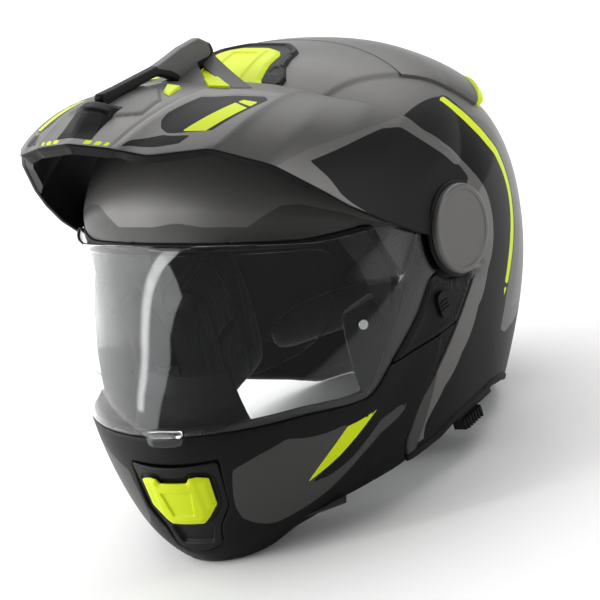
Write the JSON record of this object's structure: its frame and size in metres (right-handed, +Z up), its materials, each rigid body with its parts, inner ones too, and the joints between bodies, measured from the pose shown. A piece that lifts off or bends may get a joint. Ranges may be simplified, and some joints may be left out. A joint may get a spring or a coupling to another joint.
{
  "type": "modular motorcycle helmet",
  "caption": "Flip-up motorcycle helmet with a hinged chin bar, a clear face shield, a drop-down sun visor and a long finned peak that turns with the chin bar.",
  "frame": {"origin": "centre of the bounding box on the table the rim stands on", "axes": "+Z up, the helmet faces -Y, the wearer's left side is +X"},
  "size_m": [0.2636, 0.3328, 0.305],
  "materials": {
    "shell_paint": "matte paint",
    "chin_paint": "matte paint",
    "peak_paint": "matte paint",
    "fin_paint": "matte paint",
    "cover_paint": "matte paint",
    "vivid_plastic": "matte moulded",
    "black_plastic": "fine moulded texture",
    "hub_plastic": "smooth moulded",
    "red_plastic": "smooth moulded",
    "rubber_seal": "matte",
    "foam": "moulded beads",
    "lining": "brushed knit",
    "curtain_fabric": "woven",
    "webbing": "woven webbing",
    "pin_steel": "turned",
    "pin_chrome": "polished",
    "clear_shield": "polished polycarbonate",
    "clear_insert": "clear film",
    "smoke_visor": "smoked polycarbonate"
  },
  "bodies": {
    "shell": {"outer_shell": "shell_paint", "rim_trim": "rubber_seal", "eye_port_gasket": "rubber_seal", "foam_liner": "foam", "crown_pad": "lining", "cheek_pad_left": "lining", "cheek_pad_right": "lining", "neck_roll": "lining", "rear_ridge": "shell_paint", "rear_vent": "vivid_plastic", "crown_vent_base": "black_plastic", "pivot_pins": "pin_steel", "pivot_cover_left": "cover_paint", "pivot_cover_right": "cover_paint", "sun_visor_pins": "hub_plastic", "lever_guide": "black_plastic", "strap_anchors": "pin_steel", "strap_left": "webbing", "strap_right": "webbing", "buckle_body": "hub_plastic", "latch_strikers": "pin_steel"},
    "chin_bar": {"chin_bar": "chin_paint", "chin_hubs": "pin_steel", "side_plate_left": "black_plastic", "side_plate_right": "black_plastic", "chin_vent_bezel": "black_plastic", "chin_vent_grille": "black_plastic", "chin_gasket": "rubber_seal", "chin_foam": "foam", "breath_guard": "black_plastic", "chin_curtain": "curtain_fabric", "latch_pins": "pin_steel", "release_housing": "black_plastic"},
    "lock_slider": {"lock_slider": "black_plastic"},
    "chin_vent_slider": {"chin_vent_slider": "vivid_plastic"},
    "latch": {"latch_hooks": "pin_steel"},
    "release_button": {"release_button": "red_plastic"},
    "face_shield": {"face_shield": "clear_shield", "shield_hubs": "hub_plastic", "shield_pins": "pin_chrome", "antifog_insert": "clear_insert"},
    "peak": {"peak": "peak_paint", "peak_tray": "black_plastic", "peak_hubs": "hub_plastic", "peak_fin": "fin_paint", "peak_inserts": "vivid_plastic"},
    "sun_visor": {"sun_visor": "smoke_visor"},
    "sun_visor_lever": {"sun_visor_lever": "black_plastic"},
    "crown_vent_cover": {"crown_vent_cover": "vivid_plastic"},
    "buckle_lever": {"buckle_lever": "red_plastic"}
  },
  "joints": [
    {"name": "chin_bar_hinge", "type": "hinge", "parent": "shell", "child": "chin_bar", "pos_m": [0, 0.0147, 0.143], "axis": [-1, 0, 0], "range_deg": [0, 60]},
    {"name": "face_shield_hinge", "type": "hinge", "parent": "chin_bar", "child": "face_shield", "pos_m": [0, 0.0147, 0.143], "axis": [-1, 0, 0], "range_deg": [0, 30]},
    {"name": "peak_hinge", "type": "hinge", "parent": "shell", "child": "peak", "pos_m": [0, 0.0147, 0.143], "axis": [-1, 0, 0], "range_deg": [0, 48]},
    {"name": "sun_visor_hinge", "type": "hinge", "parent": "shell", "child": "sun_visor", "pos_m": [0, 0.0147, 0.143], "axis": [1, 0, 0], "range_deg": [0, 45]},
    {"name": "sun_visor_lever_slide", "type": "slide", "parent": "shell", "child": "sun_visor_lever", "axis": [0, 1, 0], "range_m": [0, 0.016]},
    {"name": "crown_vent_slide", "type": "slide", "parent": "shell", "child": "crown_vent_cover", "axis": [0, 0.9903, -0.1392], "range_m": [0, 0.008]},
    {"name": "chin_vent_slide", "type": "slide", "parent": "chin_bar", "child": "chin_vent_slider", "axis": [0, 0.1219, -0.9925], "range_m": [0, 0.007]},
    {"name": "lock_slide", "type": "slide", "parent": "chin_bar", "child": "lock_slider", "axis": [-0.0159, 0.003, -0.9999], "range_m": [0, 0.005]},
    {"name": "latch_hinge", "type": "hinge", "parent": "chin_bar", "child": "latch", "pos_m": [0, -0.0733, 0.038], "axis": [1, 0, 0], "range_deg": [0, 12], "stiffness_Nm_per_rad": 0.1},
    {"name": "release_button_slide", "type": "slide", "parent": "chin_bar", "child": "release_button", "axis": [0, 1, 0], "range_m": [0, 0.005]},
    {"name": "buckle_lever_hinge", "type": "hinge", "parent": "shell", "child": "buckle_lever", "pos_m": [0.04151, -0.0113, 0.02294], "axis": [0, 1, 0], "range_deg": [0, 35], "stiffness_Nm_per_rad": 0.02}
  ],
  "couplings": [
    {"joint": "peak_hinge", "follows": "chin_bar_hinge", "ratio": 0.8},
    {"joint": "sun_visor_lever_slide", "follows": "sun_visor_hinge", "m_per_rad": 0.02037},
    {"joint": "release_button_slide", "follows": "latch_hinge", "m_per_rad": 0.023871}
  ]
}
